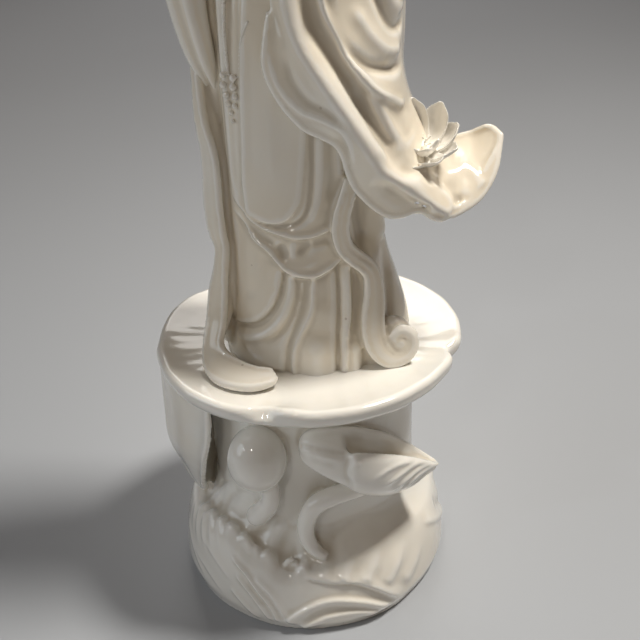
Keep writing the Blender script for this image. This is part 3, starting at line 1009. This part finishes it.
# x, height and share of the bead's radius
hangingBeads = [
    (-21.4, 111.6, 0.9), (-18.5, 110.8, 1), (-21.6, 108.2, 1), (-18.7, 107.6, 1.05), (-21.2, 104.8, 0.95),
    (-18.3, 104.4, 0.9), (-20.9, 101.6, 0.9), (-18.6, 101.2, 0.8), (-20.2, 98.6, 0.75), (-19.8, 95.8, 0.65)]


def buildBeads(clay):
    strand = [(-10, -33, 176), (-14, -33.2, 168), (-17, -31, 158), (-19, -28, 147), onRobe(-19.4, 134, 0.1),
              onRobe(-20.2, 123, 0.0), onRobe(-20.4, 112, 0.0)]
    for x, y, z in alongLine(strand, 46):
        clay.ball(figurePoint(x, y, z), head["strandBead"], 12, 14)
    second = [onRobe(-12.4, 129, -0.2), onRobe(-14.4, 124.5, -0.2), onRobe(-16, 118.5, -0.2),
              onRobe(-16.8, 111, -0.2)]
    for x, y, z in alongLine(second, 17):
        clay.ball(figurePoint(x, y, z), head["strandBead"] * 0.75, 12, 14)
    for x, z, share in hangingBeads:
        clay.ball(figurePoint(*onRobe(x, z, 0.75)), head["beadRadius"] * share, 18, 24)


headPiece = build("headAndHand", head, buildHead, buildCollar, buildHand, buildBeads)


# the lotus flower in the sleeve

flower = {
    "middle": (44.6, -12.8, 78.6),
    "axis": (-0.08, -0.34, 0.94),
    "petalThickness": 1.3,
    "seedHead": 2.9,
    "stamens": 13,
    "stamenTurn": 2.39996,
    "voxel": 0.32,
    "soften": 2,
    "triangles": 60000,
}

# turn about the axis (90 is the far side), lean from the axis, length, width and height of the foot
petals = [
    (98, 34, 18.6, 10.4, 0), (50, 46, 18.0, 10.8, 0), (10, 58, 15.4, 10.0, 0), (150, 38, 18.4, 9.6, 0.4),
    (184, 56, 15.6, 9.4, 0), (216, 68, 14.2, 10.0, 0), (250, 76, 12.6, 10.2, 0.2), (288, 70, 13.4, 10.4, 0),
    (326, 66, 14.6, 10.0, 0), (196, 34, 9.4, 6.2, 1), (236, 44, 9.0, 6.4, 1), (280, 48, 9.4, 6.6, 1),
    (320, 40, 9.8, 6.2, 1)]


def buildFlower(clay):
    axis = Vector(flower["axis"]).normalized()
    right = Vector((1, 0, 0)) - axis * axis.x
    right.normalize()
    back = axis.cross(right)
    middle = np.array(lift([flower["middle"]])[0])
    frameAxes = np.array([right, back, axis])

    def place(grid):
        return middle + grid @ frameAxes
    t = np.linspace(0, 1, 44)[:, None]
    s = np.linspace(-1, 1, 22)[None, :]
    for turn, lean, length, width, foot in petals:
        turn, lean = math.radians(turn), math.radians(lean)
        cosTurn, sinTurn, cosLean, sinLean = math.cos(turn), math.sin(turn), math.cos(lean), math.sin(lean)
        outline = 0.30 + 0.70 * np.sin(np.pi * np.clip(t * 0.86 + 0.06, 0, 1)) ** 0.9
        half = 0.5 * width * outline * rise(1.06, 0.78, t) ** 0.6
        bow = 0.13 * length * np.sin(np.pi * t) - 0.05 * length * t ** 3
        out = 1.6 + length * sinLean * t + bow * cosLean
        up = foot + length * cosLean * t - bow * sinLean
        inward = 0.42 * half * s ** 2 + 0.16 * bump(s, 0.12) * rise(0, 0.3, t)
        r, z, w = out - inward * cosLean, up + inward * sinLean, half * s
        face = np.stack([r * cosTurn - w * sinTurn, r * sinTurn + w * cosTurn, z], -1)
        thick = flower["petalThickness"] * (1 - 0.35 * t)
        shift = np.array([cosTurn * cosLean, sinTurn * cosLean, -sinLean])
        clay.sheet(place(face), place(face + (thick + 0 * s)[..., None] * shift))
    # the seed head and its stamens
    clay.ball(place(np.array([0, 0, 1.5])), flower["seedHead"], 18, 24)
    for i in range(flower["stamens"]):
        a = i * flower["stamenTurn"]
        reach = 2.2 + 1.1 * (i % 3)
        root = place(np.array([1.6 * math.cos(a), 1.6 * math.sin(a), 2.5]))
        tip = place(np.array([reach * math.cos(a), reach * math.sin(a), 5.6 - 0.5 * (i % 2)]))
        clay.tube([root, (root + tip) / 2 + np.array([0, 0, 0.3]), tip], [0.38, 0.34, 0.5], 8, 12)
    clay.ball(middle + np.array([0, 2.4, -3.4]), 5.0, 24, 32)


flowerPiece = build("lotusFlower", flower, buildFlower)


# the glaze

glaze = {
    "ivory": (0.85, 0.775, 0.645),
    "cool": (0.86, 0.84, 0.785),
    "pooled": (0.60, 0.535, 0.43),
    "edge": (0.92, 0.90, 0.85),
    "speck": (0.30, 0.22, 0.15),
    "roughness": 0.10,
    "coat": 0.45,
    "coatRoughness": 0.03,
    "translucency": 0.10,
    "orangePeel": 0.2,
    "peelDepth": 0.0006,
    "glowDepth": 0.003,
}

# noise scale and detail of each surface pattern
patterns = {"cloud": (14.0, 3.0), "fleck": (900.0, 1.0), "patch": (60.0, 2.0), "peel": (260.0, 2.0),
            "waver": (70.0, 1.0)}


class Wire:
    # wraps a socket, so that maths on the surface reads as maths
    def __init__(self, finish, socket):
        self.finish, self.socket = finish, socket

    def maths(self, operation, first, second=0.0, clamped=False):
        settings = {"operation": operation, "use_clamp": clamped}
        return self.finish.node("ShaderNodeMath", settings, {0: first, 1: second})

    def __add__(self, other):
        return self.maths("ADD", self, other)

    def __mul__(self, other):
        return self.maths("MULTIPLY", self, other)

    def __sub__(self, other):
        return self.maths("SUBTRACT", self, other)

    def __rsub__(self, other):
        return self.maths("SUBTRACT", other, self)

    def __gt__(self, other):
        return self.maths("GREATER_THAN", self, other)

    __radd__, __rmul__ = __add__, __mul__

    def clamp(self):
        return self.maths("MULTIPLY", self, 1.0, True)

    def ramp(self, low, high):
        return self.finish.node("ShaderNodeMapRange", {"interpolation_type": "SMOOTHSTEP"},
                                {"Value": self, "From Min": low, "From Max": high})


class Finish:
    def __init__(self, name):
        self.material = bpy.data.materials.new(name)
        self.material.use_nodes = True
        self.tree = self.material.node_tree
        self.tree.nodes.clear()

    def node(self, kind, settings=None, sockets=None, output=0):
        made = self.tree.nodes.new(kind)
        for name, value in (settings or {}).items():
            setattr(made, name, value)
        for name, value in (sockets or {}).items():
            if isinstance(value, Wire):
                self.tree.links.new(value.socket, made.inputs[name])
            else:
                made.inputs[name].default_value = value
        return Wire(self, made.outputs[output])

    def noise(self, place, scale, detail):
        return self.node("ShaderNodeTexNoise", None, {"Vector": place, "Scale": scale, "Detail": detail})

    def surface(self, shader):
        output = self.tree.nodes.new("ShaderNodeOutputMaterial")
        self.tree.links.new(shader.socket, output.inputs["Surface"])
        return self.material

    def mix(self, share, first, second):
        colours = {"Factor": share, 6: first, 7: second}
        return self.node("ShaderNodeMix", {"data_type": "RGBA"}, colours, 2)


def rgba(colour):
    return (*colour, 1.0)


def porcelain(label, warmth=0.0, pooling=1.0, pale=0.0, translucency=glaze["translucency"]):
    finish = Finish(label)
    place = finish.node("ShaderNodeTexCoord", None, None, "Object")
    fine = finish.node("ShaderNodeAttribute", {"attribute_name": "fineHollow"}, None, "Fac")
    broad = finish.node("ShaderNodeAttribute", {"attribute_name": "broadHollow"}, None, "Fac")
    cloud, fleck, patch, peel, waver = (finish.noise(place, *patterns[name]) for name in patterns)
    pin = finish.node("ShaderNodeTexVoronoi", {"feature": "F1"}, {"Vector": place, "Scale": 110.0})
    tint = (cloud.ramp(0.35, 0.65) * 0.7 + warmth).clamp()
    body = finish.mix(tint, rgba(glaze["cool"]), rgba(glaze["ivory"]))
    body = finish.mix(pale, body, rgba(glaze["edge"]))
    pooled = (fine.ramp(0.05, 0.95) * 0.22 + broad.ramp(0.05, 0.95) * 0.5).clamp()
    body = finish.mix(pooled * (0.85 * pooling), body, rgba(glaze["pooled"]))
    worn = ((0 - fine).ramp(0.1, 0.9) * 0.6).clamp()
    body = finish.mix(worn, body, rgba(glaze["edge"]))
    speck = (1 - pin.ramp(0.03, 0.075)) * (patch > 0.60)
    body = finish.mix(speck * 0.4, body, rgba(glaze["speck"]))
    rough = cloud.ramp(0.3, 0.7) * 0.05 + pooled * 0.05 + fleck * 0.03 + (glaze["roughness"] - 0.03)
    dimples = finish.node("ShaderNodeBump", None, {
        "Height": peel * 0.25 + waver, "Strength": glaze["orangePeel"], "Distance": glaze["peelDepth"]})
    shader = finish.node("ShaderNodeBsdfPrincipled", None, {
        "Base Color": body, "Roughness": rough, "Normal": dimples, "IOR": 1.5,
        "Coat Weight": glaze["coat"], "Coat Roughness": glaze["coatRoughness"],
        "Subsurface Weight": translucency, "Subsurface Radius": (1.0, 0.82, 0.62),
        "Subsurface Scale": glaze["glowDepth"]})
    return finish.surface(shader)


glazed = porcelain("coolGlaze", -0.3)
warmGlazed = porcelain("ivoryGlaze", 0.4, 1.2)
# on the small sharp petals the glaze is thinner and brighter
thinGlazed = porcelain("thinGlaze", 0.3, 0.1, 0.85, 0.0)
for piece, coating in ((standPiece, glazed), (leafPiece, glazed), (robePiece, warmGlazed),
                       (sleevePiece, warmGlazed), (hoodPiece, warmGlazed), (headPiece, warmGlazed),
                       (flowerPiece, thinGlazed)):
    piece.data.materials.clear()
    piece.data.materials.append(coating)
    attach(piece, "root")
    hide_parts("guanyin_figure")
print("glazed")


# floor, light and camera

studio = {
    "floorColour": (0.40, 0.42, 0.45),
    "key": {"from": (0.45, -0.02, 1.18), "size": 0.22, "power": 14.6, "colour": (1.0, 0.95, 0.87)},
    "fill": {"from": (-0.95, -0.25, 0.42), "size": 0.6, "power": 1.3, "colour": (0.80, 0.91, 1.0)},
    "window": {"from": (-0.34, -0.95, 0.80), "size": 0.05, "power": 0.9, "colour": (1.0, 0.96, 0.9)},
    "glint": {"from": (-0.90, -0.62, 0.66), "size": 0.05, "power": 0.8, "colour": (0.92, 0.96, 1.0)},
    "backdrop": {"from": (0.0, 1.9, 1.5), "size": 1.4, "power": 12.0, "colour": (1.0, 0.97, 0.93),
                 "towards": (0.0, 1.95, 0.0)},
    "worldColour": (1.0, 0.73, 0.52),
    "worldStrength": 0.09,
    "cameraFrom": (0.0052, -0.31265, 0.2912),
    "cameraTilt": 60.9,
    "cameraTurn": -2.6,
    "lens": 47.8125,
    "sensor": 36,
}

# the floor runs back from front to bend, and then curves up as a backdrop
floorFront, floorBend, floorRadius, floorTop, floorHalf = -3.0, 3.2, 1.2, 4.0, 6.0


def areaLight(name, values):
    light = bpy.data.lights.new(name, "AREA")
    light.shape = "DISK"
    light.size = values["size"]
    light.energy = values["power"]
    light.color = values["colour"]
    lamp = bpy.data.objects.new(name, light)
    lamp.location = values["from"]
    towards = Vector(values.get("towards", (0, 0, 0.14))) - lamp.location
    lamp.rotation_euler = towards.to_track_quat("-Z", "Y").to_euler()
    bpy.context.scene.collection.objects.link(lamp)


floorMesh = bpy.data.meshes.new("floor")
curve = [(floorBend + floorRadius * math.sin(a), floorRadius - floorRadius * math.cos(a))
         for a in np.linspace(0, math.pi / 2, 24)]
floorRows = [(floorFront, 0.0), *curve, (floorBend + floorRadius, floorTop)]
floorMesh.from_pydata([(x, y, z) for y, z in floorRows for x in (-floorHalf, floorHalf)], [],
                      [(2 * i, 2 * i + 1, 2 * i + 3, 2 * i + 2) for i in range(len(floorRows) - 1)])
floorMesh.shade_smooth()
floor = bpy.data.objects.new("floor", floorMesh)
bpy.context.scene.collection.objects.link(floor)
floorFinish = Finish("paleFloor")
floorPlace = floorFinish.node("ShaderNodeTexCoord", None, None, "Object")
floorCloud = floorFinish.noise(floorPlace, 3.0, 2.0)
floorShader = floorFinish.node("ShaderNodeBsdfPrincipled", None, {
    "Base Color": rgba(studio["floorColour"]), "Roughness": floorCloud * 0.1 + 0.32})
floorMesh.materials.append(floorFinish.surface(floorShader))

for lampName in ("key", "fill", "window", "glint", "backdrop"):
    areaLight(lampName, studio[lampName])

world = bpy.data.worlds.new("softRoom")
world.use_nodes = True
background = world.node_tree.nodes["Background"]
background.inputs["Color"].default_value = rgba(studio["worldColour"])
background.inputs["Strength"].default_value = studio["worldStrength"]
bpy.context.scene.world = world
bpy.context.scene.view_settings.view_transform = "Standard"

cameraData = bpy.data.cameras.new("camera")
cameraData.sensor_width = studio["sensor"]
cameraData.lens = studio["lens"]
camera = bpy.data.objects.new("camera", cameraData)
camera.matrix_world = (Matrix.Translation(studio["cameraFrom"])
                       @ Matrix.Rotation(math.radians(studio["cameraTilt"]), 4, "X")
                       @ Matrix.Rotation(math.radians(studio["cameraTurn"]), 4, "Z"))
bpy.context.scene.collection.objects.link(camera)
bpy.context.scene.camera = camera
print("studio set")
